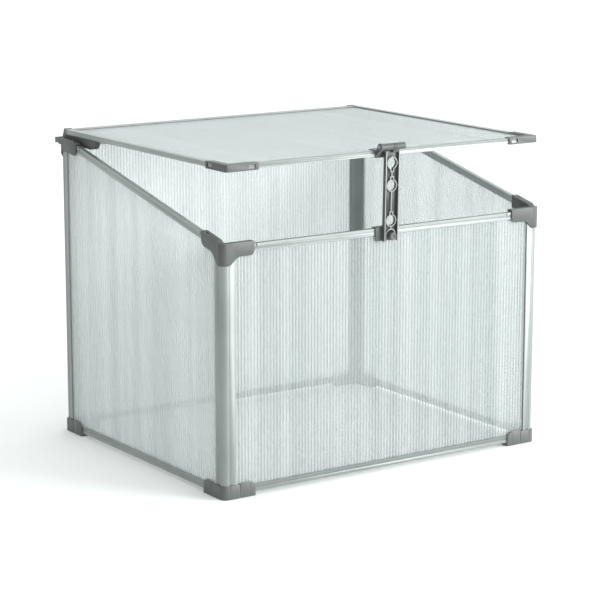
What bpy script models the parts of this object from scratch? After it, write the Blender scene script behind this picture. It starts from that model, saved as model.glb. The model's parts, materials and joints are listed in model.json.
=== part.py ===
"""Cold frame: four clear panels in an aluminium frame, with a lid on rear hinges and a front stay.

The frame stands on Z = 0 and its low side faces -Y. Everything hangs under one empty, frame_centre,
which lies on the floor at the middle of the footprint.
"""
import bpy
import bmesh
from math import atan2, cos, pi, radians, sin, sqrt

MM = 0.001

# Overall sizes, over the plastic corner fittings
WIDTH = 600 * MM
DEPTH = 496 * MM
HALF_W = WIDTH / 2
HALF_D = DEPTH / 2
GAP = 0.3 * MM

# Aluminium profiles stand back from the faces of the plastic fittings
INSET = 2.0 * MM
METAL_W = HALF_W - INSET
METAL_D = HALF_D - INSET
SKIN = 1.7 * MM
CORNER_R = 10.0 * MM

# Rails and posts
RAIL_HEIGHT = 11.0 * MM
RAIL_DEPTH = 7.2 * MM
RAIL_HEAD = 5.0 * MM
WALL = 1.6 * MM
CHANNEL = 4.5 * MM
POST_FLANGE = 22.0 * MM
POST_CHANNEL_DEPTH = 10.0 * MM
GROOVE = 0.8 * MM
PANEL = 4.0 * MM
PANEL_INSET = WALL + 0.25 * MM

# Heights
SLOPE = 0.22
FRONT_RAIL_TOP = 384.0 * MM
SIDE_LINE_FRONT = 385.0 * MM
BOTTOM_RAIL_LOW = 6.0 * MM
FITTING_COVER = 3.0 * MM
FLANGE = 2.7 * MM
FLANGE_REACH = 9.3 * MM
FRONT_TOP = SIDE_LINE_FRONT + FITTING_COVER
REAR_TOP = 488.5 * MM
REAR_WING_TOP = 475.0 * MM
REAR_WING_HIGH = 487.5 * MM
RISE_START = 24.8 * MM
RISE_END = 28.0 * MM
REAR_RAIL_TOP = REAR_WING_HIGH - FLANGE - GAP
REAR_RAIL_HALF = HALF_W - RISE_END - 0.5 * MM
REAR_POST_TOP = 471.0 * MM
SIDE_RAIL_END = 205.0 * MM

# Corner fittings
WING = 57.0 * MM
FOOT_PAD = 5.7 * MM
FOOT_REACH = 14.0 * MM
INNER_SKIN_AT = 10.0 * MM
INNER_SKIN = 1.5 * MM
INNER_SKIN_DEPTH = 20.0 * MM
SLOT_NEAR = 43.0 * MM
SLOT_FAR = 51.0 * MM
SLOT_INSET = 3.2 * MM
SLOT_WIDE = 3.0 * MM

# Lid
LID_HALF_W = 292.0 * MM
LID_TOP = 503.5 * MM
LID_FITTING = 11.0 * MM
LID_RAIL_TOP = LID_TOP - 1.2 * MM
LID_RAIL_HEIGHT = 8.0 * MM
LID_RAIL_LOW = LID_RAIL_TOP - LID_RAIL_HEIGHT
LID_RAIL_WIDTH = 10.0 * MM
LID_RAIL_X = LID_HALF_W - INSET
LID_RAIL_Y = HALF_D - INSET
LID_CORNER_R = 4.0 * MM

# Hinges
HINGE_Y = 252.0 * MM
HINGE_Z = 484.0 * MM
PIN_R = 2.4 * MM
PIN_PLAY = 0.1 * MM
ARM_OUT = 286.5 * MM
ARM_IN = 276.0 * MM
ARM_FRONT = 152.0 * MM
ARM_LOW = 478.0 * MM
TAIL_LENGTH = 34.0 * MM
TAIL_HALF = 4.6 * MM
TAIL_DROOP = radians(6)

# Stay: a flanged bar with keyholes, hung in front of the lid's front rail
STAY_Y = -257.0 * MM
STAY_Z = 509.5 * MM
STAY_LEAN = radians(1.4)
STAY_HALF = 13.0 * MM
STAY_BACK = 4.5 * MM
STAY_DEEP = 6.5 * MM
STAY_WALL = 1.8 * MM
STAY_START = 7.2 * MM
STAY_END = 145.5 * MM
BARREL_R = 5.2 * MM
BARREL_HALF = 22.0 * MM
STAY_EAR_R = 6.0 * MM
STAY_PIN_R = 2.0 * MM
KEYHOLE_R = 8.2 * MM
KEYHOLES = ((25.5 * MM, 1), (60.0 * MM, -1), (114.0 * MM, -1))
NOTCH_AT = 136.0 * MM
NOTCH_R = 7.8 * MM
KEY_SLOT_HALF = 2.0 * MM
KEY_SLOT_REACH = 12.5 * MM

# Peg on the front rail
PEG_Z = 372.0 * MM
PEG_R = 6.7 * MM
PEG_LENGTH = 13.4 * MM
PEG_DOME = 4.6 * MM
PEG_HOLE_R = 2.1 * MM
CLIP_WALL = 2.0 * MM
CLIP_TOP = 1.7 * MM
CLIP_LEFT = -24.0 * MM
CLIP_RIGHT = 13.0 * MM
CLIP_FACE = METAL_D + GAP + CLIP_WALL

# The hinge arms' tails reach behind the frame and the stay's hinge reaches in front of it, and
# the origin is under the middle of that whole length
REAR_REACH = HINGE_Y + TAIL_LENGTH * cos(TAIL_DROOP) + TAIL_HALF * sin(TAIL_DROOP)
FRONT_REACH = max(CLIP_FACE + GAP + PEG_LENGTH, -STAY_Y + STAY_EAR_R)
CENTRE_Y = (FRONT_REACH - REAR_REACH) / 2

CORNERS = {
    "front_left": (-1, -1),
    "front_right": (1, -1),
    "rear_left": (-1, 1),
    "rear_right": (1, 1),
}
SIDES = {"left": -1, "right": 1}


def clear_scene():
    for obj in list(bpy.data.objects):
        bpy.data.objects.remove(obj)


def material(name, colour, roughness, metallic=0.0, alpha=1.0):
    mat = bpy.data.materials.new(name)
    mat.use_nodes = True
    shader = mat.node_tree.nodes["Principled BSDF"]
    shader.inputs["Base Color"].default_value = (*colour, 1.0)
    shader.inputs["Roughness"].default_value = roughness
    shader.inputs["Metallic"].default_value = metallic
    shader.inputs["Alpha"].default_value = alpha
    return mat


def empty(name, location, parent=None):
    obj = bpy.data.objects.new(name, None)
    bpy.context.collection.objects.link(obj)
    obj.location = location
    obj.parent = parent
    return obj


def solid(name, verts, faces, mat, parent, origin=(0, 0, 0)):
    """A closed mesh object whose vertices are given in the parent's frame."""
    mesh = bpy.data.meshes.new(name)
    bm = bmesh.new()
    made = [bm.verts.new([v[i] - origin[i] for i in range(3)]) for v in verts]
    for face in faces:
        bm.faces.new([made[i] for i in face])
    bmesh.ops.remove_doubles(bm, verts=bm.verts, dist=1e-6)
    bmesh.ops.recalc_face_normals(bm, faces=bm.faces)
    bm.to_mesh(mesh)
    bm.free()
    mesh.shade_smooth()
    mesh.set_sharp_from_angle(angle=radians(30))
    obj = bpy.data.objects.new(name, mesh)
    bpy.context.collection.objects.link(obj)
    if mat is not None:
        mesh.materials.append(mat)
    obj.location = origin
    obj.parent = parent
    return obj


def loft(name, rings, mat, parent, origin=(0, 0, 0)):
    """A solid through closed rings that all have the same number of points."""
    count = len(rings[0])
    verts = [v for ring in rings for v in ring]
    faces = []
    for r in range(len(rings) - 1):
        for i in range(count):
            j = (i + 1) % count
            faces.append((r * count + i, r * count + j, (r + 1) * count + j, (r + 1) * count + i))
    faces.append(tuple(reversed(range(count))))
    faces.append(tuple(range((len(rings) - 1) * count, len(rings) * count)))
    return solid(name, verts, faces, mat, parent, origin)


def prism(name, outline, place, low, high, mat, parent, origin=(0, 0, 0)):
    """An outline of (a, b) points, extruded from low to high; place turns (a, b, t) into x, y, z."""
    rings = [[place(a, b, t) for a, b in outline] for t in (low, high)]
    return loft(name, rings, mat, parent, origin)


def along_x(a, b, t):
    return (t, a, b)


def along_z(a, b, t):
    return (a, b, t)


def arc(centre, radius, start, end, steps):
    points = []
    for i in range(steps + 1):
        angle = radians(start + (end - start) * i / steps)
        points.append((centre[0] + radius * cos(angle), centre[1] + radius * sin(angle)))
    return points


def circle(radius, steps=24):
    return [(radius * cos(2 * pi * i / steps), radius * sin(2 * pi * i / steps)) for i in range(steps)]


def turned(name, profile, place, mat, parent, origin=(0, 0, 0), steps=24):
    """A turned solid from (radius, t) points; the two ends are closed discs."""
    rings = [[place(a, b, t) for a, b in circle(r, steps)] for r, t in profile]
    return loft(name, rings, mat, parent, origin)


def boolean(obj, tool, operation):
    mod = obj.modifiers.new(operation.lower(), "BOOLEAN")
    mod.operation = operation
    mod.solver = "EXACT"
    mod.object = tool
    tool.hide_render = True
    tool.display_type = "WIRE"
    return mod


def rail_outline():
    """Rail section as (depth, height): a solid head over a channel for the panel."""
    points = [(0, 0), (RAIL_DEPTH, 0), (RAIL_DEPTH, -RAIL_HEIGHT)]
    points += [(WALL + CHANNEL, -RAIL_HEIGHT), (WALL + CHANNEL, -RAIL_HEAD)]
    points += [(WALL, -RAIL_HEAD), (WALL, -RAIL_HEIGHT), (0, -RAIL_HEIGHT)]
    middle = -RAIL_HEAD / 2 - RAIL_HEIGHT / 4
    points += [(0, middle - GROOVE), (GROOVE, middle), (0, middle + GROOVE)]
    return points


def straight_rail(name, side, along, half_length, top, mat, parent, flipped=False):
    """A rail on the front or back (along X) or on a side (along Y); flipped has its channel on top."""
    turn = -1 if flipped else 1

    def place(depth, height, t):
        z = top + turn * height
        if along == "x":
            return (t, side * (METAL_D - depth), z)
        return (side * (METAL_W - depth), t, z)

    return prism(name, rail_outline(), place, -half_length, half_length, mat, parent)


def side_line(y):
    """Height of the sloping side rails' top edge."""
    return SIDE_LINE_FRONT + SLOPE * (y + HALF_D)


def side_rail(name, side, mat, parent):
    def place(depth, height, t):
        return (side * (METAL_W - depth), t, side_line(t) + height)

    return prism(name, rail_outline(), place, -METAL_D + POST_FLANGE + GAP, SIDE_RAIL_END, mat, parent)


def post_outline():
    """Post section as distances in from the two outer faces: rounded corner, two panel channels."""
    tip = WALL + CHANNEL
    back = tip + WALL
    floor = POST_FLANGE - POST_CHANNEL_DEPTH
    groove_at = CORNER_R + 1.2 * MM
    points = [(POST_FLANGE, 0), (groove_at + GROOVE, 0), (groove_at, GROOVE), (groove_at - GROOVE, 0)]
    points += arc((CORNER_R, CORNER_R), CORNER_R, -90, -180, 8)
    points += [(0, groove_at - GROOVE), (GROOVE, groove_at), (0, groove_at + GROOVE), (0, POST_FLANGE)]
    points += [(WALL, POST_FLANGE), (WALL, floor), (tip, floor), (tip, POST_FLANGE), (back, POST_FLANGE)]
    points += [(back, back), (POST_FLANGE, back), (POST_FLANGE, tip), (floor, tip), (floor, WALL)]
    points += [(POST_FLANGE, WALL)]
    return points


def post(name, corner, top, mat, parent):
    sx, sy = corner

    def place(p, q, t):
        return (sx * (METAL_W - p), sy * (METAL_D - q), t)

    return prism(name, post_outline(), place, FOOT_PAD + GAP, top, mat, parent)


def corner_point(station, inset, radius):
    """Plan position, as distances in from both outer faces, of a point inset from the skin."""
    kind, value = station
    if kind == "x":
        return (max(value, inset), inset)
    if kind == "y":
        return (inset, max(value, inset))
    if inset >= radius:
        return (inset, inset)
    reach = radius - inset
    return (radius - reach * sin(value), radius - reach * cos(value))


def corner_sweep(name, stations, section, corner, mat, parent, half_w=HALF_W, radius=CORNER_R):
    """An L-shaped fitting: section(station) gives (inset, z) points at each stop round the corner."""
    sx, sy = corner
    rings = []
    for station in stations:
        ring = []
        for inset, z in section(station):
            p, q = corner_point(station, inset, radius)
            ring.append((sx * (half_w - p), sy * (HALF_D - q), z))
        rings.append(ring)
    return loft(name, rings, mat, parent)


def corner_stations(x_stops, y_stops, arc_steps=6):
    stations = [("x", stop) for stop in sorted(x_stops, reverse=True)]
    stations += [("arc", pi / 2 * i / arc_steps) for i in range(arc_steps + 1)]
    stations += [("y", stop) for stop in sorted(y_stops)]
    return stations


def groove_stops(places, half):
    return [place + shift for place in places for shift in (-half, 0, half)]


def end_rounding(distance, radius):
    """How far a wing's edge has turned in at this distance along it, near its rounded end."""
    past = distance - (WING - radius)
    if past <= 0:
        return 0.0
    return radius - sqrt(max(radius ** 2 - past ** 2, 0.0))


FOOT_GROOVES = (30.0 * MM, 48.0 * MM)
FOOT_GROOVE_HALF = 1.0 * MM
EDGE_GROOVE = 12.2 * MM


def foot(name, corner, mat, parent):
    """A foot: a pad under the post and rails, and a skin with three plates on each face."""
    grooves = (EDGE_GROOVE, *FOOT_GROOVES)
    tops = (20.5 * MM, 21.0 * MM, 23.5 * MM, 22.5 * MM)
    end_r = 9 * MM
    stops = groove_stops(grooves, FOOT_GROOVE_HALF)
    stops += [20 * MM, 39 * MM, 52 * MM, 54.5 * MM, 56.3 * MM, WING]
    stations = corner_stations(stops, stops)

    def section(station):
        kind, value = station
        distance = value if kind != "arc" else 0.0
        plate = sum(distance > g for g in grooves)
        top = tops[plate] - end_rounding(distance, end_r)
        face = 0.0
        for g in grooves:
            if kind != "arc" and abs(distance - g) < 1e-7:
                face = 1.0 * MM
        pad = [(face, 0), (FOOT_REACH, 0), (FOOT_REACH, FOOT_PAD), (SKIN, FOOT_PAD)]
        return [(face, top), *pad, (SKIN, top)]

    return corner_sweep(name, stations, section, corner, mat, parent)


def smooth(value, low, high):
    """0 below low, 1 above high, and an even S-curve between them."""
    t = min(max((value - low) / (high - low), 0.0), 1.0)
    return t * t * (3 - 2 * t)


def connector_section(top, low, face):
    return [(face, low), (SKIN, low), (SKIN, top - FLANGE), (FLANGE_REACH, top - FLANGE),
            (FLANGE_REACH, top), (0, top), (face, top - 0.6 * MM)]


def front_connector_section(top, low, face):
    """Like the plain section, with an inner skin hanging from the top's inner edge."""
    under = top - FLANGE
    inner_low = top - INNER_SKIN_DEPTH
    return [(face, low), (SKIN, low), (SKIN, under), (INNER_SKIN_AT, under),
            (INNER_SKIN_AT, inner_low), (INNER_SKIN_AT + INNER_SKIN, inner_low),
            (INNER_SKIN_AT + INNER_SKIN, top), (0, top), (face, top - 0.6 * MM)]


def top_slots(body, corner, line, wings):
    """Cuts the latch slot through the top near the end of each wing; line gives the top's height."""
    sx, sy = corner
    outline = [(SLOT_NEAR, SLOT_INSET), (SLOT_FAR, SLOT_INSET)]
    outline += [(SLOT_FAR, SLOT_INSET + SLOT_WIDE), (SLOT_NEAR, SLOT_INSET + SLOT_WIDE)]
    for wing in wings:

        def place(along, inset, t, wing=wing):
            p, q = (along, inset) if wing == "x" else (inset, along)
            return (sx * (HALF_W - p), sy * (HALF_D - q), line(wing, along) + t)

        name = f"{body.name}_slot_{wing}"
        tool = prism(name, outline, place, -FLANGE - 0.4 * MM, 1 * MM, None, body.parent)
        boolean(body, tool, "DIFFERENCE")


CONNECTOR_STOPS = (14, 17, 20, 23, 26, 29, 32, 38, 44, 49, 51.5, 54, 56, 57)


def connector_stations(x_extra=()):
    stops = groove_stops((EDGE_GROOVE,), 0.8 * MM) + [stop * MM for stop in CONNECTOR_STOPS]
    return corner_stations(stops + list(x_extra), stops)


def face_groove(station):
    kind, value = station
    return 0.8 * MM if kind != "arc" and abs(value - EDGE_GROOVE) < 1e-7 else 0.0


def front_connector(name, corner, mat, parent):
    """A front top fitting: a deep corner whose skin sweeps up into two shallower wings."""
    column = 33.5 * MM
    wing = 21.0 * MM

    def section(station):
        kind, value = station
        distance = 0.0 if kind == "arc" else value
        top = FRONT_TOP
        if kind == "y":
            top += SLOPE * value * smooth(value, EDGE_GROOVE, 18 * MM)
        depth = column + (wing - column) * smooth(distance, 12 * MM, 31 * MM)
        low = top - depth + end_rounding(distance, 8 * MM)
        return front_connector_section(top, low, face_groove(station))

    def line(wing, along):
        return FRONT_TOP + (SLOPE * along if wing == "y" else 0.0)

    body = corner_sweep(name, connector_stations(), section, corner, mat, parent)
    top_slots(body, corner, line, "xy")
    return body


def rear_connector(name, corner, mat, parent):
    """A rear top fitting: a flat-topped corner, one sloping wing, a rear wing and the hinge's ear.

    The rear wing dips where the hinge arm passes over it and rises again to the rear rail.
    """
    sx, sy = corner
    side_low = 468.5 * MM
    tip_low = 465.0 * MM
    rear_low = 456.0 * MM
    step_at = 12.9 * MM

    def section(station):
        kind, value = station
        top = REAR_TOP
        if kind == "y":
            top = min(REAR_TOP, side_line(HALF_D - value) + FITTING_COVER)
            low = side_low + (tip_low - side_low) * smooth(value, 30 * MM, 50 * MM)
            low += end_rounding(value, 6 * MM)
        elif kind == "arc":
            low = rear_low + (side_low - rear_low) * smooth(value, 0, pi / 2)
        else:
            rise = REAR_WING_HIGH - REAR_WING_TOP
            low = rear_low + end_rounding(value, 6 * MM)
            low += rise * smooth(value, RISE_START, 40 * MM)
            if value > step_at:
                share = (value - RISE_START) / (RISE_END - RISE_START)
                top = REAR_WING_TOP + rise * min(max(share, 0.0), 1.0)
        return connector_section(top, low, face_groove(station))

    def line(wing, along):
        return side_line(HALF_D - along) + FITTING_COVER

    stations = connector_stations((RISE_START, RISE_END))
    body = corner_sweep(name, stations, section, corner, mat, parent)
    top_slots(body, corner, line, "y")
    ear_r = 6.2 * MM
    ear = [(METAL_D - 3 * MM, HINGE_Z + 4.0 * MM), (METAL_D - 3 * MM, HINGE_Z - ear_r)]
    ear += arc((HINGE_Y, HINGE_Z), ear_r, -90, 90, 10)
    ear += [(METAL_D + 1 * MM, HINGE_Z + 4.2 * MM)]
    lug = prism(name + "_ear", ear, along_x, sx * 289.5 * MM, sx * 296.5 * MM, None, parent)
    boolean(body, lug, "UNION")
    hole = [(PIN_R + PIN_PLAY, sx * 287 * MM), (PIN_R + PIN_PLAY, sx * 295.4 * MM)]
    boolean(body, turned(name + "_bore", hole, hinge_place, None, parent), "DIFFERENCE")
    return body


def hinge_place(a, b, t):
    return (t, HINGE_Y + a, HINGE_Z + b)


def stay_place(a, b, t):
    return (t, STAY_Y + a, STAY_Z + b)


def panel(name, outline, place, mat, parent, origin=(0, 0, 0)):
    return prism(name, outline, place, 0.0, PANEL, mat, parent, origin)


def frame_panels(mat, parent):
    """The four fixed panels, each standing in the channels round it."""
    half_x = METAL_W - (POST_FLANGE - POST_CHANNEL_DEPTH) - GAP
    half_y = METAL_D - (POST_FLANGE - POST_CHANNEL_DEPTH) - GAP
    low = BOTTOM_RAIL_LOW + RAIL_HEAD + GAP
    under_rail = RAIL_HEAD + GAP
    notch_at = REAR_RAIL_HALF - 1 * MM
    notch_end = notch_at + 1.5 * MM
    notch_top = REAR_WING_TOP - FLANGE - GAP - under_rail
    ends = {
        "front": (-1, [(half_x, FRONT_RAIL_TOP - under_rail)]),
        "rear": (1, [(half_x, notch_top), (notch_end, notch_top), (notch_at, REAR_RAIL_TOP - under_rail)]),
    }
    for word, (side, half_top) in ends.items():

        def place(a, b, t, side=side):
            return (a, side * (METAL_D - PANEL_INSET - t), b)

        outline = [(-half_x, low), (half_x, low)] + half_top
        outline += [(-a, b) for a, b in half_top[::-1]]
        panel("panel_" + word, outline, place, mat, parent)
    for word, side in SIDES.items():
        front_top = side_line(-half_y) - RAIL_HEAD - GAP
        bend = SIDE_RAIL_END
        rear_top = side_line(bend) - RAIL_HEAD - GAP

        def place(a, b, t, side=side):
            return (side * (METAL_W - PANEL_INSET - t), a, b)

        post_end = METAL_D - POST_FLANGE
        outline = [(-half_y, low), (half_y, low), (half_y, REAR_POST_TOP)]
        outline += [(post_end, rear_top), (bend, rear_top)]
        outline += [(-post_end, side_line(-post_end) - RAIL_HEAD - GAP)]
        outline += [(-half_y, front_top - 3 * MM)]
        panel("panel_" + word, outline, place, mat, parent)


def screw(name, centre, direction, mat, parent, head_r=2.6 * MM, shank=3.4 * MM):
    """A small pan-head screw; direction is the axis word and the way its head faces."""
    axis, way = direction

    def place(a, b, t):
        offset = {"x": (way * t, a, b), "y": (a, way * t, b), "z": (a, b, way * t)}[axis]
        return tuple(centre[i] + offset[i] for i in range(3))

    profile = [(1.2 * MM, -shank), (1.2 * MM, GAP), (head_r, GAP), (head_r, GAP + 0.7 * MM)]
    profile += [(head_r * 0.7, GAP + 1.3 * MM), (head_r * 0.3, GAP + 1.3 * MM)]
    profile += [(head_r * 0.2, GAP + 0.7 * MM)]
    return turned(name, profile, place, mat, parent, steps=12)


def drill(obj, centre, direction, depth, radius=1.5 * MM):
    axis, way = direction

    def place(a, b, t):
        offset = {"x": (way * t, a, b), "y": (a, way * t, b), "z": (a, b, way * t)}[axis]
        return tuple(centre[i] + offset[i] for i in range(3))

    profile = [(radius, -depth), (radius, 2 * MM)]
    tool = turned(obj.name + "_hole", profile, place, None, obj.parent, steps=12)
    boolean(obj, tool, "DIFFERENCE")


def frame_screws(rails, mat, parent):
    """One screw through each top rail end, just past the wing of its corner fitting."""
    beyond = WING + 7 * MM
    drop = RAIL_HEAD / 2
    near = -HALF_D + beyond
    for word, sx in SIDES.items():
        places = {
            "front": ("front", (sx * (HALF_W - beyond), -METAL_D, FRONT_RAIL_TOP - drop), ("y", -1)),
            "rear": ("rear", (sx * (HALF_W - beyond), METAL_D, REAR_RAIL_TOP - drop), ("y", 1)),
            "side_front": (word, (sx * METAL_W, near, side_line(near) - drop), ("x", sx)),
            "side_rear": (word, (sx * METAL_W, -near, side_line(-near) - drop), ("x", sx)),
        }
        for place_word, (rail, centre, direction) in places.items():
            drill(rails[rail], centre, direction, 4.2 * MM)
            screw(f"rail_screw_{place_word}_{word}", centre, direction, mat, parent)


def lid_rail_outline():
    """Lid rail section as (inset, z): a channel that opens inwards round the lid's panel."""
    low = LID_RAIL_LOW
    top = LID_RAIL_TOP
    middle = (low + top) / 2 + 1.2 * MM
    slot_low = low + WALL
    slot_top = slot_low + CHANNEL + 0.3 * MM
    points = [(0, low), (LID_RAIL_WIDTH, low), (LID_RAIL_WIDTH, slot_low), (WALL, slot_low)]
    points += [(WALL, slot_top), (LID_RAIL_WIDTH, slot_top), (LID_RAIL_WIDTH, top), (0, top)]
    points += [(0, middle + 0.6 * MM), (0.6 * MM, middle), (0, middle - 0.6 * MM)]
    return points


def lid_rails(mat, parent, origin):
    for name, sy in (("lid_rail_front", -1), ("lid_rail_rear", 1)):

        def place(inset, z, t, sy=sy):
            return (t, sy * (LID_RAIL_Y - inset), z)

        end = LID_RAIL_X - 1.5 * MM
        prism(name, lid_rail_outline(), place, -end, end, mat, parent, origin)
    half = LID_RAIL_Y - LID_RAIL_WIDTH - GAP
    made = {}
    for word, sx in SIDES.items():

        def place(inset, z, t, sx=sx):
            return (sx * (LID_RAIL_X - inset), t, z)

        outline = lid_rail_outline()
        made[word] = prism("lid_rail_" + word, outline, place, -half, half, mat, parent, origin)
    return made


def lid_corner(name, corner, mat, parent, origin):
    """A front corner of the lid: a channel round both rails, with a window in each wing's face."""
    top = LID_TOP
    low = LID_TOP - LID_FITTING
    reach = 12.5 * MM
    stops = [6, 14, 24, 38, 50, 53, 55.5, 57]
    stations = corner_stations([s * MM for s in stops], [s * MM for s in stops], 5)

    def section(station):
        kind, value = station
        trim = 0.0 if kind == "arc" else end_rounding(value, 3 * MM) * 0.2
        lip_top = [(reach, top - trim), (reach, top - 0.9 * MM), (SKIN, top - 0.9 * MM)]
        lip_low = [(SKIN, low + 1.5 * MM), (reach, low + 1.5 * MM), (reach, low + trim)]
        return [(0, low + trim), (0.4 * MM, top), *lip_top, *lip_low]

    body = corner_sweep(name, stations, section, corner, mat, parent, LID_HALF_W, LID_CORNER_R)
    sx, sy = corner
    window = [(40 * MM, low + 2.6 * MM), (52 * MM, low + 2.6 * MM), (52 * MM, top - 2.4 * MM)]
    window += [(40 * MM, top - 2.4 * MM)]

    def front_window(a, b, t):
        return (sx * (LID_HALF_W - a), sy * (HALF_D - t), b)

    def side_window(a, b, t):
        return (sx * (LID_HALF_W - t), sy * (HALF_D - a), b)

    for word, place in (("_front_window", front_window), ("_side_window", side_window)):
        tool = prism(name + word, window, place, -1 * MM, 3 * MM, None, parent)
        boolean(body, tool, "DIFFERENCE")
    return shifted(body, origin)


def shifted(obj, origin):
    """Moves an object's origin to a point, leaving its shape where it is."""
    for vert in obj.data.vertices:
        vert.co = [vert.co[i] - origin[i] for i in range(3)]
    obj.location = origin
    return obj


def hinge_arm(name, side, mat, parent, origin):
    """A rear lid fitting: an arm under the side rail, the hinge's boss, and a tail that stops the lid."""
    rail_under = LID_RAIL_LOW - GAP
    nose = 12 * MM
    front = ARM_FRONT
    along = (cos(TAIL_DROOP), -sin(TAIL_DROOP))
    across = (sin(TAIL_DROOP), cos(TAIL_DROOP))

    def tail(distance, height):
        return (HINGE_Y + distance * along[0] + height * across[0],
                HINGE_Z + distance * along[1] + height * across[1])

    outline = [(front, rail_under)]
    outline += arc((front + nose, ARM_LOW + nose), nose, 180, 270, 6)
    outline += arc((HINGE_Y, HINGE_Z), 6.3 * MM, 250, 285, 3)
    outline += [tail(9 * MM, -TAIL_HALF), tail(TAIL_LENGTH, -TAIL_HALF), tail(TAIL_LENGTH, TAIL_HALF)]
    outline += [tail(8 * MM, TAIL_HALF)]
    outline += arc((METAL_D + GAP + 4 * MM, LID_TOP - 6 * MM), 5.5 * MM, 0, 90, 5)
    outline += [(METAL_D + GAP, LID_TOP - 0.5 * MM), (METAL_D + GAP, rail_under)]
    body = prism(name, outline, along_x, side * ARM_IN, side * ARM_OUT, mat, parent)
    hole = PIN_R + PIN_PLAY
    through = [(hole, side * (ARM_IN - 2 * MM)), (hole, side * (ARM_OUT + 2 * MM))]
    boolean(body, turned(name + "_bore", through, hinge_place, None, parent), "DIFFERENCE")
    return shifted(body, origin)


def hinge_pin(name, side, mat, parent, origin):
    head = 3.8 * MM
    inner = ARM_IN - GAP
    profile = [(head, inner - 1.6 * MM), (head, inner), (PIN_R, inner), (PIN_R, 295 * MM)]
    return turned(name, [(r, side * t) for r, t in profile], hinge_place, mat, parent, origin)


def arm_screws(arms, rails, mat, parent, origin):
    """Screws up through the hinge arms into the lid's side rails."""
    middle = (ARM_IN + ARM_OUT) / 2 + 1 * MM
    length = LID_RAIL_LOW + WALL - ARM_LOW
    for word, side in SIDES.items():
        for place_word, y in (("front", 176 * MM), ("rear", 206 * MM)):
            low = (side * middle, y, ARM_LOW)
            for obj in (arms[word], rails[word]):
                drill(obj, low, ("z", -1), length + 1 * MM)
            name = f"arm_screw_{place_word}_{word}"
            shifted(screw(name, low, ("z", -1), mat, parent, 2.6 * MM, length), origin)


def rail_clip_outline(top, back, face_steps, under, lip_to):
    """A clip's section as (y, z): over a rail, down its face by face_steps, and a lip under it."""
    wall = CLIP_WALL
    thick = 1.6 * MM
    outline = [(-back, top), (-CLIP_FACE, top), *face_steps]
    outline += [(-lip_to, under), (-lip_to, under + thick), (-CLIP_FACE + wall, under + thick)]
    outline += [(-CLIP_FACE + wall, top - CLIP_TOP), (-back, top - CLIP_TOP)]
    return outline


def stay_clip(mat, parent, origin):
    """The lid's clip: it grips the front rail and carries one half of the stay's hinge barrel."""
    top = LID_RAIL_TOP + GAP + CLIP_TOP
    under = LID_RAIL_LOW - GAP - 1.6 * MM
    face_steps = [(-CLIP_FACE, under)]
    lip_to = CLIP_FACE - CLIP_WALL - 4 * MM
    outline = rail_clip_outline(top, METAL_D - 18 * MM, face_steps, under, lip_to)
    body = prism("stay_clip", outline, along_x, CLIP_LEFT, CLIP_RIGHT, mat, parent)
    ear = [(-CLIP_FACE + 1 * MM, top - 1 * MM), (-CLIP_FACE + 1 * MM, under + 3 * MM)]
    ear += arc((STAY_Y, STAY_Z), STAY_EAR_R, 215, 30, 12)
    lug = prism("stay_clip_ear", ear, along_x, CLIP_LEFT, CLIP_LEFT + 4 * MM, None, parent)
    boolean(body, lug, "UNION")
    knuckle = [(BARREL_R, CLIP_LEFT + 2 * MM), (BARREL_R, -GAP)]
    boolean(body, turned("stay_clip_knuckle", knuckle, stay_place, None, parent), "UNION")
    hole = STAY_PIN_R + PIN_PLAY
    bore = [(hole, CLIP_LEFT - 2 * MM), (hole, 2 * MM)]
    boolean(body, turned("stay_clip_bore", bore, stay_place, None, parent), "DIFFERENCE")
    return shifted(body, origin)


def stay_pin(mat, parent, origin):
    head = 3.2 * MM
    left = CLIP_LEFT - GAP
    right = BARREL_HALF + GAP
    profile = [(head, left - 1 * MM), (head, left), (STAY_PIN_R, left), (STAY_PIN_R, right)]
    profile += [(head, right), (head, right + 1 * MM)]
    return turned("stay_pin", profile, stay_place, mat, parent, origin)


def keyhole_outline(radius, slot_half, reach, way):
    """A keyhole about its round hole's centre; way is +1 for a slot towards the bar's far end."""
    start = atan2(sqrt(radius ** 2 - slot_half ** 2), slot_half)
    points = []
    steps = 20
    sweep = 2 * pi - 2 * (pi / 2 - start)
    for i in range(steps + 1):
        angle = start - sweep * i / steps
        points.append((radius * cos(angle), way * radius * sin(angle)))
    points.append((-slot_half, way * reach))
    points.append((slot_half, way * reach))
    return points


def barrel_place(a, b, t):
    return (t, a, b)


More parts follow.
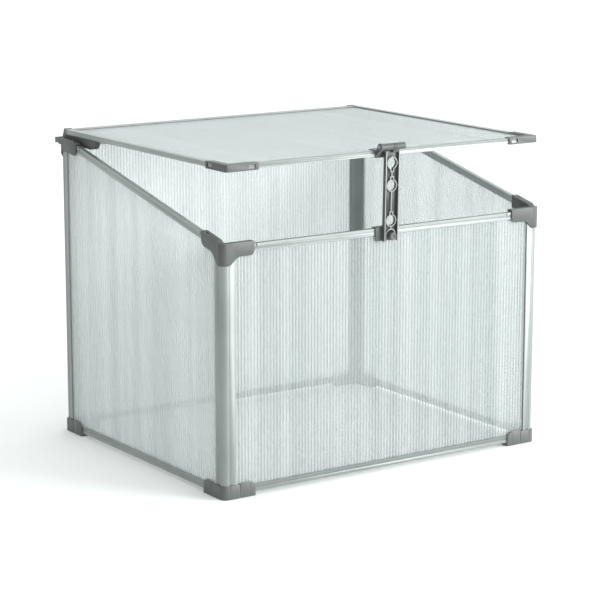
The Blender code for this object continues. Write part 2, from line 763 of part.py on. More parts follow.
def stay(mat, parent):
    """The stay, built hanging straight down from its hinge and then leant by its parent."""
    back = STAY_BACK
    front = STAY_BACK - STAY_DEEP
    inner = STAY_HALF - STAY_WALL
    web = back - STAY_WALL
    channel = [(-STAY_HALF, back), (STAY_HALF, back), (STAY_HALF, front), (inner, front), (inner, web)]
    channel += [(-inner, web), (-inner, front), (-STAY_HALF, front)]
    body = prism("stay", channel, along_z, -STAY_END, -STAY_START, mat, parent)
    rim = 1.5 * MM
    rise = 3.2 * MM
    overlap = 0.5 * MM

    def place_at(distance):
        return lambda a, b, t: (a, t, -distance - b)

    def tool(name, outline, distance, low, high):
        return prism(name, outline, place_at(distance), low, high, None, parent)

    def disc(radius):
        return circle(radius, 28)

    for i, (distance, way) in enumerate(KEYHOLES):
        collar = keyhole_outline(KEYHOLE_R + rim, KEY_SLOT_HALF + rim, KEY_SLOT_REACH + rim, way)
        raised = tool(f"stay_collar_{i}", collar, distance, web - rise, web + overlap)
        boolean(body, raised, "UNION")
        lugs = [(-inner - overlap, -0.8 * MM), (inner + overlap, -0.8 * MM)]
        lugs += [(inner + overlap, 0.8 * MM), (-inner - overlap, 0.8 * MM)]
        crossing = tool(f"stay_lugs_{i}", lugs, distance, web - rise * 0.9, web + overlap * 0.9)
        boolean(body, crossing, "UNION")
    length = STAY_END - NOTCH_AT
    outer = NOTCH_R + rim
    hood = [(-outer, length)] + [(a, -b) for a, b in arc((0, 0), outer, 180, 0, 14)] + [(outer, length)]
    boolean(body, tool("stay_hood", hood, NOTCH_AT, web - rise * 0.95, web + overlap * 0.95), "UNION")
    rib_half = 0.9 * MM
    start = KEYHOLES[0][0]
    length = NOTCH_AT - NOTCH_R - start
    rib = [(-rib_half, 0), (rib_half, 0), (rib_half, length), (-rib_half, length)]
    boolean(body, tool("stay_rib", rib, start, web - rise * 0.8, web + overlap * 0.8), "UNION")
    neck = [(GAP, -7.5 * MM), (12 * MM, -7.5 * MM), (12 * MM, 2 * MM), (GAP, 2 * MM)]
    boolean(body, tool("stay_neck", neck, STAY_START, front + 0.4 * MM, back - 0.4 * MM), "UNION")
    barrel = [(BARREL_R, GAP), (BARREL_R, BARREL_HALF)]
    boolean(body, turned("stay_barrel", barrel, barrel_place, None, parent), "UNION")
    hole = STAY_PIN_R + PIN_PLAY
    bore = [(hole, -3 * MM), (hole, BARREL_HALF + 3 * MM)]
    boolean(body, turned("stay_bore", bore, barrel_place, None, parent), "DIFFERENCE")
    through = (web - rise - 1 * MM, back + 1 * MM)
    for i, (distance, way) in enumerate(KEYHOLES):
        cut = keyhole_outline(KEYHOLE_R, KEY_SLOT_HALF, KEY_SLOT_REACH, way)
        boolean(body, tool(f"stay_keyhole_{i}", cut, distance, *through), "DIFFERENCE")
    end = STAY_END - NOTCH_AT + 2 * MM
    notch = [(-NOTCH_R, end)]
    notch += [(a, -b) for a, b in arc((0, 0), NOTCH_R, 180, 0, 14)]
    notch += [(NOTCH_R, end)]
    boolean(body, tool("stay_notch", notch, NOTCH_AT, *through), "DIFFERENCE")
    return body


def peg_clip(mat, parent):
    """The clip on the front rail that carries the stay's peg."""
    top = FRONT_RAIL_TOP + GAP + CLIP_TOP
    low = PEG_Z - PEG_R - 0.8 * MM
    under = FRONT_RAIL_TOP - RAIL_HEIGHT - GAP - 1.6 * MM
    face_steps = [(-CLIP_FACE, low), (-CLIP_FACE + CLIP_WALL, low), (-CLIP_FACE + CLIP_WALL, under)]
    outline = rail_clip_outline(top, METAL_D - RAIL_DEPTH - 1 * MM, face_steps, under, METAL_D - WALL)
    body = prism("stay_peg_clip", outline, along_x, CLIP_LEFT, CLIP_RIGHT + 3 * MM, mat, parent)
    hole = [(PEG_HOLE_R, -4 * MM), (PEG_HOLE_R, 2 * MM)]
    boolean(body, turned("peg_clip_hole", hole, peg_place, None, parent), "DIFFERENCE")
    return body


def peg_place(a, b, t):
    return (a, -CLIP_FACE - t, PEG_Z + b)


def peg(mat, parent):
    """The peg: a round knob with a dished end, on a short spigot through its clip."""
    end = GAP + PEG_LENGTH
    spigot = PEG_HOLE_R - GAP
    dome = end - PEG_DOME
    profile = [(spigot, -CLIP_WALL), (spigot, GAP), (PEG_R, GAP), (PEG_R, dome)]
    for degrees in (20, 40, 60, 78):
        angle = radians(degrees)
        profile.append((PEG_R - (1 - cos(angle)) * 2.6 * MM, dome + PEG_DOME * sin(angle)))
    profile += [(4.0 * MM, end), (3.4 * MM, end - 1.2 * MM), (0.6 * MM, end - 1.6 * MM)]
    return turned("stay_peg", profile, peg_place, mat, parent)


def build():
    clear_scene()
    aluminium = material("aluminium", (0.74, 0.77, 0.76), 0.32, 1.0)
    plastic = material("grey_plastic", (0.235, 0.25, 0.245), 0.45)
    clear = material("twin_wall", (0.86, 0.91, 0.89), 0.25, 0.0, 0.45)
    steel = material("steel", (0.35, 0.36, 0.36), 0.35, 1.0)

    centre = empty("frame_centre", (0, CENTRE_Y, 0))
    for word, corner in CORNERS.items():
        sx, sy = corner
        post("post_" + word, corner, FRONT_RAIL_TOP if sy < 0 else REAR_POST_TOP, aluminium, centre)
        foot("foot_" + word, corner, plastic, centre)
        maker = front_connector if sy < 0 else rear_connector
        maker("connector_" + word, corner, plastic, centre)

    half_x = METAL_W - POST_FLANGE - GAP
    half_y = METAL_D - POST_FLANGE - GAP
    for name, side in (("front", -1), ("rear", 1)):
        straight_rail("bottom_rail_" + name, side, "x", half_x, BOTTOM_RAIL_LOW, aluminium, centre, True)
    for name, side in SIDES.items():
        straight_rail("bottom_rail_" + name, side, "y", half_y, BOTTOM_RAIL_LOW, aluminium, centre, True)
    rails = {
        "front": straight_rail("top_rail_front", -1, "x", half_x, FRONT_RAIL_TOP, aluminium, centre),
        "rear": straight_rail("top_rail_rear", 1, "x", REAR_RAIL_HALF, REAR_RAIL_TOP, aluminium, centre),
        "left": side_rail("side_rail_left", -1, aluminium, centre),
        "right": side_rail("side_rail_right", 1, aluminium, centre),
    }
    frame_panels(clear, centre)
    frame_screws(rails, steel, centre)
    peg_clip(plastic, centre)
    peg(plastic, centre)

    hinge = (0, HINGE_Y, HINGE_Z)
    for word, side in SIDES.items():
        hinge_pin("hinge_pin_" + word, side, steel, centre, hinge)

    lid_side_rails = lid_rails(aluminium, centre, hinge)
    half_lid_x = LID_RAIL_X - WALL - GAP
    half_lid_y = LID_RAIL_Y - WALL - GAP
    panel_low = LID_RAIL_LOW + WALL + 0.4 * MM
    outline = [(-half_lid_x, -half_lid_y), (half_lid_x, -half_lid_y), (half_lid_x, half_lid_y)]
    outline += [(-half_lid_x, half_lid_y)]
    panel("lid_panel", outline, lambda a, b, t: (a, b, panel_low + t), clear, centre, hinge)
    arms = {}
    for word, side in SIDES.items():
        lid_corner("lid_corner_" + word, (side, -1), plastic, centre, hinge)
        arms[word] = hinge_arm("hinge_arm_" + word, side, plastic, centre, hinge)
    arm_screws(arms, lid_side_rails, steel, centre, hinge)
    stay_clip(plastic, centre, hinge)
    stay_pin(steel, centre, (0, STAY_Y, STAY_Z))

    stay_axis = empty("stay_axis", (0, STAY_Y, STAY_Z), centre)
    stay_axis.rotation_euler = (STAY_LEAN, 0, 0)
    stay(plastic, stay_axis)


build()
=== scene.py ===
"""Cold frame: fluted sheet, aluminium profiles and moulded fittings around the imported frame."""

import json
from math import cos, pi, radians, sin

import bmesh
import bpy
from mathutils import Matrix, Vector


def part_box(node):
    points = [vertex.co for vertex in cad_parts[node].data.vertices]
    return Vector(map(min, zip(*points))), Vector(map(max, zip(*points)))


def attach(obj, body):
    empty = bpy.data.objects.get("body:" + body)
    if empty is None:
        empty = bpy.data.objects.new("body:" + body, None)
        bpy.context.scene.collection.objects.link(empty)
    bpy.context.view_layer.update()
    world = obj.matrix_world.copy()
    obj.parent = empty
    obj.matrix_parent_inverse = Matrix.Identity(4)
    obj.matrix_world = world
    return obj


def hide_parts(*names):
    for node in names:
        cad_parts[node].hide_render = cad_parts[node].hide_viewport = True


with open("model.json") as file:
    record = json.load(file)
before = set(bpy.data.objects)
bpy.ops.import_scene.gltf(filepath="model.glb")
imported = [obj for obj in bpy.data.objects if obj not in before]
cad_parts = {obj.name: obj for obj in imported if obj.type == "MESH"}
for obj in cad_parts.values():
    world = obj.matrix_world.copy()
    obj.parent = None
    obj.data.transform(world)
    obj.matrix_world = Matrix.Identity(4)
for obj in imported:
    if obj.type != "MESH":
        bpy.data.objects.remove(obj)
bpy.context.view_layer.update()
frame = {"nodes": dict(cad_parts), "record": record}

MM = 0.001
NODES = frame["nodes"]
BODIES = frame["record"]["behaviour"]["bodies"]
BODY_OF = {node: body for body, group in BODIES.items() for node in group}
SLOT_OF = {part["node"]: part["material_slot"] for part in frame["record"]["subparts"]}

# Twin-wall sheet
FLUTE_PITCH = 5.7 * MM
SKIN = 0.42 * MM
RIB = 0.34 * MM

# Edges: an outer edge that turns more than BEVEL_FROM is rounded, and one over SMOOTH_TO shades sharp
ROUNDING = {"aluminium": 0.22 * MM, "grey_plastic": 0.5 * MM, "steel": 0.15 * MM}
BEVEL_FROM = radians(28)
SMOOTH_TO = radians(38)
FLAT_WITHIN = radians(0.4)
SAME_POINT = 0.002 * MM

# A panel's upper outline is read from the corners this far above its lowest one
ABOVE_FOOT = 1.0 * MM

# The stay's rims with a painted highlight: they face forward within a cosine, stand this close to its
# frontmost faces, and end this far below its top, where its hinge barrel is
FACES_FORWARD = 0.9
RIM_DEPTH = 2.6 * MM
BARREL_ROOM = 15.0 * MM

# Screw heads
SCREW_RADIUS = 2.6 * MM
SCREW_HEIGHT = 1.3 * MM
SCREW_STEPS = 32
SCREW_SMOOTH_TO = radians(40)

# A wave texture turns through this many radians in each unit of its vector, at scale 1
WAVE_RATE = 20.0


# ---------------------------------------------------------------- materials

class Nodes:
    """A material's node tree, with short calls for the nodes that the looks below share."""

    def __init__(self, name):
        self.mat = bpy.data.materials.new(name)
        self.mat.use_nodes = True
        self.tree = self.mat.node_tree
        self.shader = self.tree.nodes["Principled BSDF"]
        self.coords = self.tree.nodes.new("ShaderNodeTexCoord").outputs["Object"]

    def set(self, **values):
        for key, value in values.items():
            self.shader.inputs[key.replace("_", " ")].default_value = value

    def link(self, out, socket):
        self.tree.links.new(out, self.shader.inputs[socket])

    def scaled(self, scale):
        node = self.tree.nodes.new("ShaderNodeMapping")
        node.inputs["Scale"].default_value = scale
        self.tree.links.new(self.coords, node.inputs["Vector"])
        return node.outputs["Vector"]

    def noise(self, scale, detail=3.0, stretch=(1, 1, 1), roughness=0.55):
        node = self.tree.nodes.new("ShaderNodeTexNoise")
        node.inputs["Scale"].default_value = scale
        node.inputs["Detail"].default_value = detail
        node.inputs["Roughness"].default_value = roughness
        self.tree.links.new(self.scaled(stretch), node.inputs["Vector"])
        return node.outputs["Fac"]

    def ramp(self, fac, stops):
        node = self.tree.nodes.new("ShaderNodeValToRGB")
        elements = node.color_ramp.elements
        while len(elements) < len(stops):
            elements.new(0.5)
        for element, (position, colour) in zip(elements, stops):
            element.position = position
            element.color = (*colour, 1.0)
        self.tree.links.new(fac, node.inputs["Fac"])
        return node.outputs["Color"]

    def spread(self, fac, low, high):
        node = self.tree.nodes.new("ShaderNodeMapRange")
        node.inputs["To Min"].default_value = low
        node.inputs["To Max"].default_value = high
        self.tree.links.new(fac, node.inputs["Value"])
        return node.outputs["Result"]

    def bands(self, axis, peak, pitch):
        """Soft stripes across an axis, one peak at each rib."""
        node = self.tree.nodes.new("ShaderNodeTexWave")
        node.wave_type = "BANDS"
        node.bands_direction = axis.upper()
        node.inputs["Scale"].default_value = 2 * pi / (WAVE_RATE * pitch)
        node.inputs["Phase Offset"].default_value = pi - 2 * pi * peak / pitch
        self.tree.links.new(self.coords, node.inputs["Vector"])
        return node.outputs["Fac"]

    def bump(self, fac, strength, distance, before=None):
        node = self.tree.nodes.new("ShaderNodeBump")
        node.inputs["Strength"].default_value = strength
        node.inputs["Distance"].default_value = distance
        self.tree.links.new(fac, node.inputs["Height"])
        if before is not None:
            self.tree.links.new(before, node.inputs["Normal"])
        return node.outputs["Normal"]


def aluminium(name, stretch, painted_light_and_shade):
    """Mill-finish extrusion with fine die lines along its length and slow clouding, at a tone that
    paints light and shade on it.
    """
    n = Nodes(name)
    n.set(Metallic=0.62, IOR=1.4)
    cloud = n.noise(scale=9.0, detail=4.0)
    lines = n.noise(scale=900.0, detail=2.0, stretch=stretch)
    low, high = (tuple(painted_light_and_shade * part for part in colour) for colour in MILL_FINISH)
    n.link(n.ramp(cloud, [(0.3, low), (0.7, high)]), "Base Color")
    n.link(n.spread(lines, 0.34, 0.50), "Roughness")
    n.link(n.bump(lines, strength=0.10, distance=0.06 * MM), "Normal")
    return n.mat


def moulded(name, low, high, roughness=(0.42, 0.56)):
    """Moulded plastic: a fine spark-eroded grain, with faint flow marks and scuffs."""
    n = Nodes(name)
    flow = n.noise(scale=26.0, detail=5.0, stretch=(1, 1, 0.35))
    grain = n.noise(scale=3200.0, detail=2.0)
    scuff = n.noise(scale=210.0, detail=6.0, stretch=(1, 1, 3), roughness=0.7)
    n.link(n.ramp(flow, [(0.32, low), (0.68, high)]), "Base Color")
    n.link(n.spread(scuff, *roughness), "Roughness")
    fine = n.bump(grain, strength=0.35, distance=0.06 * MM)
    n.link(n.bump(scuff, strength=0.05, distance=0.2 * MM, before=fine), "Normal")
    n.set(IOR=1.48)
    return n.mat


def twin_wall(name, stretch, haze_and_painted_light, stripes=None, clear_to_rib=None):
    """Translucent sheet with lighter streaks and fine extrusion lines along its flutes, in colours
    whose level paints light and shade on each panel.

    stripes is (axis word, position of one rib, pitch), and clear_to_rib the opacity between two ribs
    and over a rib. Without them the sheet is even and as opaque as a rib.
    """
    n = Nodes(name)
    low, high = haze_and_painted_light
    haze = n.noise(scale=36.0, detail=4.0, stretch=stretch)
    lines = n.noise(scale=700.0, detail=2.0, stretch=stretch)
    n.link(n.ramp(haze, [(0.36, low), (0.64, high)]), "Base Color")
    n.link(n.spread(lines, 0.30, 0.48), "Roughness")
    n.link(n.bump(lines, strength=0.06, distance=0.05 * MM), "Normal")
    n.set(IOR=1.4)
    if stripes is None:
        n.set(Alpha=RIB_ALPHA)
    else:
        n.link(n.spread(n.bands(*stripes), *clear_to_rib), "Alpha")
    return n.mat


def steel(name):
    """Plated steel, dulled unevenly by handling."""
    n = Nodes(name)
    n.set(Metallic=1.0)
    wear = n.noise(scale=420.0, detail=5.0)
    n.link(n.ramp(wear, [(0.35, (0.30, 0.31, 0.31)), (0.7, (0.46, 0.47, 0.46))]), "Base Color")
    n.link(n.spread(wear, 0.26, 0.48), "Roughness")
    n.link(n.bump(wear, strength=0.08, distance=0.1 * MM), "Normal")
    return n.mat


# A texture's scale along each axis, which draws it out along one of them
ALONG_X = (0.02, 1, 1)
ALONG_Y = (1, 0.02, 1)
ALONG_Z = (1, 1, 0.02)

# Metals and plastics, with their colours from the darker to the lighter patches
MILL_FINISH = ((0.255, 0.281, 0.273), (0.305, 0.331, 0.323))
# Each tone paints light and shade: the rails along x are painted darker against the key light's shine
# on their fronts, the side rails along y painted lighter against the room's dark left
METALS = {
    "x": aluminium("aluminium_along_x", ALONG_X, 0.84),
    "y": aluminium("aluminium_along_y", ALONG_Y, 1.12),
    "z": aluminium("aluminium_along_z", ALONG_Z, 0.98),
}
PLASTIC = moulded("grey_fitting", (0.068, 0.074, 0.072), (0.086, 0.093, 0.091))
STAY_PLASTIC = moulded("grey_stay", (0.070, 0.075, 0.074), (0.088, 0.094, 0.093))
# The feet: the fittings' grey painted lighter for the light on their front plates, and less rough
FOOT_LIT_PLASTIC = moulded("grey_foot_painted_light", (0.088, 0.095, 0.093), (0.110, 0.118, 0.116), (0.34, 0.46))
STEEL = steel("plated_steel")
# Rounded edges of the plastic fittings and the stay: their grey about twice as light, a painted
# highlight
EDGE_HIGHLIGHT = moulded("grey_fitting_edges", (0.150, 0.160, 0.157), (0.19, 0.20, 0.197), (0.34, 0.46))
STAY_EDGE_HIGHLIGHT = moulded("grey_stay_edges", (0.225, 0.24, 0.235), (0.29, 0.305, 0.30), (0.34, 0.46))
# The faces' and the rounded edges' looks, by the first word of a node's name; the rounded edges'
# lighter grey is a painted highlight
PLASTICS = {"stay": (STAY_PLASTIC, STAY_EDGE_HIGHLIGHT), "foot": (FOOT_LIT_PLASTIC, EDGE_HIGHLIGHT)}

# Sheet colours, from the darker streaks to the lighter ones
# The panels are one sheet in lit and shaded copies: the front is painted darker as painted shade, the
# rear, the sides and the lid lighter as painted light
FRONT_SHADED_HAZE = ((0.46, 0.51, 0.505), (0.60, 0.645, 0.64))
REAR_LIT_HAZE = ((0.78, 0.83, 0.825), (0.88, 0.93, 0.925))
LEFT_LIT_HAZE = ((0.80, 0.85, 0.845), (0.92, 0.97, 0.965))
RIGHT_LIT_HAZE = ((0.78, 0.83, 0.825), (0.90, 0.95, 0.945))
LID_LIT_HAZE = ((0.79, 0.84, 0.835), (0.87, 0.92, 0.915))
# Ribs are the skins' colours darkened by this share, painted shade along each rib
RIB_SHADE = 0.70

# Opacity of one skin, midway between two ribs and over a rib
CLEAR_TO_RIB = (0.11, 0.32)
REAR_CLEAR_TO_RIB = (0.19, 0.33)
LID_CLEAR_TO_RIB = (0.22, 0.34)
RIB_ALPHA = 0.45


def flutes(start, end):
    """Number of flutes between two edges, and their exact pitch."""
    count = round((end - start) / FLUTE_PITCH)
    return count, (end - start - RIB) / count


def sheet_looks(node, name, axis, along, haze, clear_to_rib):
    """The skins' and the ribs' materials for a node's sheet, with its flutes side by side on axis."""
    # haze holds the panel's colours, their level painted light and shade
    ribs = [tuple(RIB_SHADE * part for part in colour) for colour in haze]
    low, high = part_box(node)
    across = "xyz".index(axis)
    pitch = flutes(low[across], high[across])[1]
    stripes = (axis, low[across] + RIB / 2, pitch)
    return twin_wall(name, along, haze, stripes, clear_to_rib), twin_wall(name + "_ribs", along, ribs)


SHEET_STYLES = {
    "panel_front": ("twin_wall_front", "x", ALONG_Z, FRONT_SHADED_HAZE, CLEAR_TO_RIB),
    "panel_rear": ("twin_wall_rear", "x", ALONG_Z, REAR_LIT_HAZE, REAR_CLEAR_TO_RIB),
    "panel_left": ("twin_wall_left", "y", ALONG_Z, LEFT_LIT_HAZE, CLEAR_TO_RIB),
    "panel_right": ("twin_wall_right", "y", ALONG_Z, RIGHT_LIT_HAZE, CLEAR_TO_RIB),
    "lid_panel": ("twin_wall_lid", "x", ALONG_Y, LID_LIT_HAZE, LID_CLEAR_TO_RIB),
}
SHEETS = {node: sheet_looks(node, *style) for node, style in SHEET_STYLES.items()}


# ---------------------------------------------------------------- shapes

def new_object(name, mesh, mat, node):
    """Puts a piece in the scene in a node's place, with one material or one for each face index."""
    obj = bpy.data.objects.new(name, mesh)
    bpy.context.scene.collection.objects.link(obj)
    indices = [face.material_index for face in mesh.polygons]
    mesh.materials.clear()
    for one in mat if isinstance(mat, tuple) else (mat,):
        mesh.materials.append(one)
    mesh.polygons.foreach_set("material_index", [min(i, len(mesh.materials) - 1) for i in indices])
    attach(obj, BODY_OF[node])
    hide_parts(node)


def rounded(node, width, segments=2):
    """The node's own solid with flat faces merged and outer edges rounded, as material index 1, where
    a plastic's second material paints a highlight.
    """
    bm = bmesh.new()
    bm.from_mesh(NODES[node].data)
    bmesh.ops.remove_doubles(bm, verts=bm.verts, dist=SAME_POINT)
    bmesh.ops.dissolve_limit(bm, angle_limit=FLAT_WITHIN, verts=bm.verts, edges=bm.edges)
    bmesh.ops.recalc_face_normals(bm, faces=bm.faces)
    mesh = bpy.data.meshes.new(node + "_edges")
    # Two empty slots, without which the rounded faces could not keep their index
    mesh.materials.append(None)
    mesh.materials.append(None)
    weight = bm.edges.layers.float.new("bevel_weight_edge")
    for edge in bm.edges:
        if edge.is_convex and edge.calc_face_angle(0.0) > BEVEL_FROM:
            edge[weight] = 1.0
    bm.to_mesh(mesh)
    bm.free()
    scratch = bpy.data.objects.new(node + "_scratch", mesh)
    bpy.context.scene.collection.objects.link(scratch)
    bevel = scratch.modifiers.new("round", "BEVEL")
    bevel.limit_method = "WEIGHT"
    bevel.width = width
    bevel.segments = segments
    bevel.use_clamp_overlap = True
    bevel.material = 1
    bpy.context.view_layer.update()
    graph = bpy.context.evaluated_depsgraph_get()
    made = bpy.data.meshes.new_from_object(scratch.evaluated_get(graph))
    bpy.data.objects.remove(scratch)
    bpy.data.meshes.remove(mesh)
    made.shade_smooth()
    made.set_sharp_from_angle(angle=SMOOTH_TO)
    return made


def paint_front_highlight(mesh, depth, below):
    """Paints a highlight on the flange edges and rims furthest forward, below a height, with the
    rounded edges' lighter look.
    """
    facing = [face for face in mesh.polygons
              if face.normal.y < -FACES_FORWARD and face.center.z < below]
    outward = max(facing, key=lambda face: face.area).normal.copy()
    front = max(outward.dot(face.center) for face in facing)
    for face in facing:
        if outward.dot(face.center) > front - depth:
            face.material_index = 1


def top_line(node, axis, low):
    """The panel's upper outline as (position, height) pairs, from the node's own corners."""
    points = set()
    for vert in NODES[node].data.vertices:
        if vert.co.z > low + ABOVE_FOOT:
            points.add((round(vert.co[axis], 6), round(vert.co.z, 6)))
    return sorted(points)


def height_at(line, position):
    """The outline's height at a position along it."""
    for (a, low), (b, high) in zip(line, line[1:]):
        if position <= b and b > a:
            return low + (high - low) * max(position - a, 0.0) / (b - a)
    return line[-1][1]


def fluted(node, place, start, end, near, far, bottom, top):
    """Twin-wall sheet from start to end: two skins joined by ribs, open along each flute.

    place turns (across, through, along) into x, y, z; top gives the flutes' far end at a position.
    """
    count, pitch = flutes(start, end)
    edges = []
    for i in range(count + 1):
        left = start + i * pitch
        edges += [left, left + RIB]
    depths = (near, near + SKIN, far - SKIN, far)
    bm = bmesh.new()
    rings = []
    for end_at in (lambda u: bottom, top):
        rings.append([[bm.verts.new(place(u, d, end_at(u))) for d in depths] for u in edges])
    low, high = rings

    def side(a, b):
        return bm.faces.new((low[a[0]][a[1]], low[b[0]][b[1]], high[b[0]][b[1]], high[a[0]][a[1]]))

    last = len(edges) - 1
    for i in range(last):
        side((i, 0), (i + 1, 0))
        side((i + 1, 3), (i, 3))
        solid_here = i % 2 == 0
        for ring, way in ((low, 1), (high, -1)):
            rows = (0, 1, 2) if solid_here else (0, 2)
            for row in rows:
                corners = [ring[i][row], ring[i][row + 1], ring[i + 1][row + 1], ring[i + 1][row]]
                bm.faces.new(corners[::way])
        if not solid_here:
            side((i + 1, 1), (i, 1))
            side((i, 2), (i + 1, 2))
            side((i, 1), (i, 2)).material_index = 1
            side((i + 1, 2), (i + 1, 1)).material_index = 1
    for row in range(3):
        side((0, row + 1), (0, row))
        side((last, row), (last, row + 1))
    bmesh.ops.recalc_face_normals(bm, faces=bm.faces)
    mesh = bpy.data.meshes.new(node + "_sheet")
    bm.to_mesh(mesh)
    bm.free()
    return mesh


def screw_head(node, seat, axis):
    """A pan head with a cross recess on its seat, and a short length of shank below it."""
    # Shank and head as (share of the head's radius, share of its height)
    profile = [(0.42, -1.2), (0.42, 0.02), (0.96, 0.02), (1.0, 0.12), (1.0, 0.38)]
    profile += [(0.93, 0.66), (0.80, 0.86), (0.62, 0.97), (0.47, 1.0)]
    # The recess: depth and size of its mouth and its floor, as shares
    recess = ((1.0, 1.0), (0.42, 0.72))
    slot_half, arm_length, arm_sharpness = 0.14, 0.29, 6
    bm = bmesh.new()
    side = axis.orthogonal().normalized()
    other = axis.cross(side)

    def at(r, a, t):
        return seat + (side * cos(a) + other * sin(a)) * r * SCREW_RADIUS + axis * t * SCREW_HEIGHT

    angles = [2 * pi * i / SCREW_STEPS for i in range(SCREW_STEPS)]
    rings = [[bm.verts.new(at(r, angle, t)) for angle in angles] for r, t in profile]
    for depth, share in recess:
        ring = []
        for angle in angles:
            arm = abs(cos(2 * angle)) ** arm_sharpness
            ring.append(bm.verts.new(at((slot_half + arm_length * arm) * share, angle, depth)))
        rings.append(ring)
    for a, b in zip(rings, rings[1:]):
        for i in range(SCREW_STEPS):
            j = (i + 1) % SCREW_STEPS
            bm.faces.new((a[i], a[j], b[j], b[i]))
    bm.faces.new(rings[0][::-1])
    bm.faces.new(rings[-1])
    bmesh.ops.recalc_face_normals(bm, faces=bm.faces)
    mesh = bpy.data.meshes.new(node + "_head")
    bm.to_mesh(mesh)
    bm.free()
    mesh.shade_smooth()
    mesh.set_sharp_from_angle(angle=SCREW_SMOOTH_TO)
    new_object(node + "_head", mesh, STEEL, node)


# ---------------------------------------------------------------- panels

def upright_panel(node, axis):
    """A fixed panel's sheet, with upright flutes side by side along axis."""
    low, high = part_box(node)
    across, through = (0, 1) if axis == "x" else (1, 0)
    line = top_line(node, across, low.z)

    def place(u, d, z):
        return (u, d, z) if axis == "x" else (d, u, z)

    mesh = fluted(node, place, low[across], high[across], low[through], high[through],
                  low.z, lambda u: height_at(line, u))
    new_object(node + "_sheet", mesh, SHEETS[node], node)


def lid_sheet(node):
    """The lid's sheet, with its flutes running from front to rear."""
    low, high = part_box(node)

    def place(u, d, y):
        return (u, y, d)

    mesh = fluted(node, place, low.x, high.x, low.z, high.z, low.y, lambda u: high.y)
    new_object(node + "_sheet", mesh, SHEETS[node], node)


for word in ("front", "rear"):
    upright_panel("panel_" + word, "x")
for word in ("left", "right"):
    upright_panel("panel_" + word, "y")
lid_sheet("lid_panel")


# ---------------------------------------------------------------- metal and plastic

def metal_for(node):
    """The aluminium whose die lines run along this node's length."""
    if node.startswith("post"):
        return METALS["z"]
    return METALS["x"] if node.endswith(("front", "rear")) else METALS["y"]


for node, slot_name in sorted(SLOT_OF.items()):
    if slot_name == "aluminium":
        new_object(node + "_profile", rounded(node, ROUNDING["aluminium"], 1), metal_for(node), node)
    elif slot_name == "grey_plastic":
        mat = PLASTICS.get(node.split("_")[0], (PLASTIC, EDGE_HIGHLIGHT))
        mesh = rounded(node, ROUNDING["grey_plastic"])
        # The stay's forward rims get the painted highlight of its rounded edges
        if node == "stay":
            paint_front_highlight(mesh, RIM_DEPTH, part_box(node)[1].z - BARREL_ROOM)
        new_object(node + "_moulding", mesh, mat, node)
    elif slot_name == "steel" and "screw" not in node:
        new_object(node + "_turned", rounded(node, ROUNDING["steel"]), STEEL, node)


def screw_for(node):
    """A head in the node's place: arm screws face down, rail screws away from the middle."""
    low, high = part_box(node)
    seat = (low + high) / 2
    if node.startswith("arm_screw"):
        along, way = 2, -1
    elif "side" in node:
        along, way = 0, (1 if seat.x > 0 else -1)
    else:
        along, way = 1, (1 if "rear" in node else -1)
    outward = Vector((0, 0, 0))
    outward[along] = way
    seat[along] = (high if way > 0 else low)[along] - way * SCREW_HEIGHT
    screw_head(node, seat, outward)


for node in sorted(NODES):
    if "screw" in node:
        screw_for(node)


# ---------------------------------------------------------------- stage, light and camera

# The floor reaches this many metres each way
FLOOR_WHITE = (0.93, 0.935, 0.93, 1)
FLOOR_REACH = 40.0

# The room's light from its dark left to its bright side, as (position, colour) from left to right
ROOM_DARK = (0.06, (0.34, 0.352, 0.348, 1))
ROOM_BRIGHT = (0.48, (0.97, 1.0, 0.995, 1))
ROOM_STRENGTH = 1.38

# The key light stands in front on the right and looks at the middle of the frame
KEY_PLACE = Vector((2.6, -3.5, 1.2))
KEY_TARGET = Vector((0, 0, 0.25))
KEY_SIZE = (2.2, 1.6)
KEY_POWER = 200

# The camera, fitted to the photo's corners: its place from the middle of the footprint's front edge
CAMERA_FROM_FRONT = (-1.986, -2.695, 0.973)
CAMERA_DOWN = 0.2069
CAMERA_RIGHT = 0.5948
LENS = 133.6
SENSOR = 36.0
CLIP_END = 200.0

# Clear surfaces that one line of sight may cross: two fluted panels hold more than the default of 8
CLEAR_SURFACES = 48


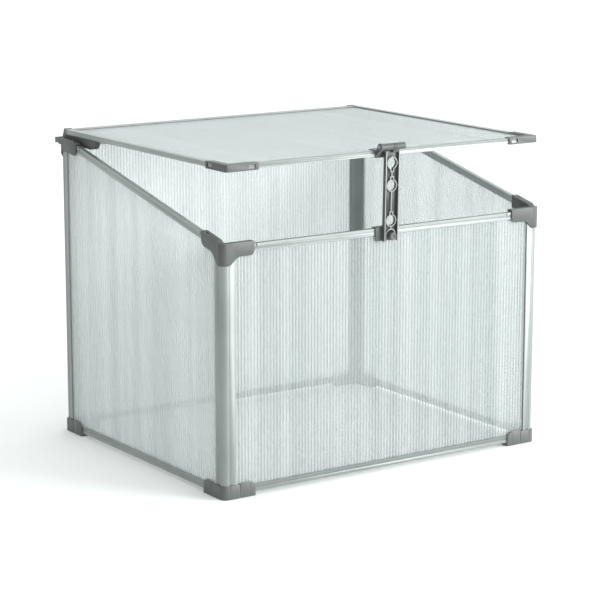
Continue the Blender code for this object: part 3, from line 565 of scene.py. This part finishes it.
def floor():
    """A matt white floor under the frame, well past the edges of the picture."""
    white = Nodes("studio_white")
    white.set(Base_Color=FLOOR_WHITE, Roughness=0.9, Specular_IOR_Level=0.1)
    mesh = bpy.data.meshes.new("studio_floor")
    corners = ((-1, -1), (1, -1), (1, 1), (-1, 1))
    mesh.from_pydata([(x * FLOOR_REACH, y * FLOOR_REACH, 0) for x, y in corners], [], [(0, 1, 2, 3)])
    mesh.materials.append(white.mat)
    obj = bpy.data.objects.new("studio_floor", mesh)
    bpy.context.scene.collection.objects.link(obj)


def key_light():
    """A large soft light from the front right."""
    light = bpy.data.lights.new("key", "AREA")
    light.shape = "RECTANGLE"
    light.size, light.size_y = KEY_SIZE
    light.energy = KEY_POWER
    obj = bpy.data.objects.new("key", light)
    bpy.context.scene.collection.objects.link(obj)
    obj.location = KEY_PLACE
    obj.rotation_euler = (KEY_TARGET - KEY_PLACE).to_track_quat("-Z", "Y").to_euler()


def surroundings():
    """A soft white room that is darker on the left, so that faces turned that way read darker."""
    world = bpy.data.worlds.new("soft_room")
    bpy.context.scene.world = world
    world.use_nodes = True
    tree = world.node_tree
    coords = tree.nodes.new("ShaderNodeTexCoord")
    split = tree.nodes.new("ShaderNodeSeparateXYZ")
    ramp = tree.nodes.new("ShaderNodeValToRGB")
    scale = tree.nodes.new("ShaderNodeMapRange")
    scale.inputs["From Min"].default_value = -1.0
    tree.links.new(coords.outputs["Generated"], split.inputs["Vector"])
    tree.links.new(split.outputs["X"], scale.inputs["Value"])
    tree.links.new(scale.outputs["Result"], ramp.inputs["Fac"])
    for element, (position, colour) in zip(ramp.color_ramp.elements, (ROOM_DARK, ROOM_BRIGHT)):
        element.position = position
        element.color = colour
    background = tree.nodes["Background"]
    tree.links.new(ramp.outputs["Color"], background.inputs["Color"])
    background.inputs["Strength"].default_value = ROOM_STRENGTH


def camera():
    """A camera without roll, turned right of straight ahead and tilted down, with a long lens."""
    data = bpy.data.cameras.new("camera")
    data.lens = LENS
    data.sensor_width = SENSOR
    data.clip_end = CLIP_END
    obj = bpy.data.objects.new("camera", data)
    bpy.context.scene.collection.objects.link(obj)
    obj.location = Vector((0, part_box("foot_front_left")[0].y, 0)) + Vector(CAMERA_FROM_FRONT)
    obj.rotation_euler = (pi / 2 - CAMERA_DOWN, 0, -CAMERA_RIGHT)
    bpy.context.scene.camera = obj


floor()
surroundings()
key_light()
camera()
bpy.context.scene.view_settings.view_transform = "Standard"
bpy.context.scene.cycles.transparent_max_bounces = CLEAR_SURFACES
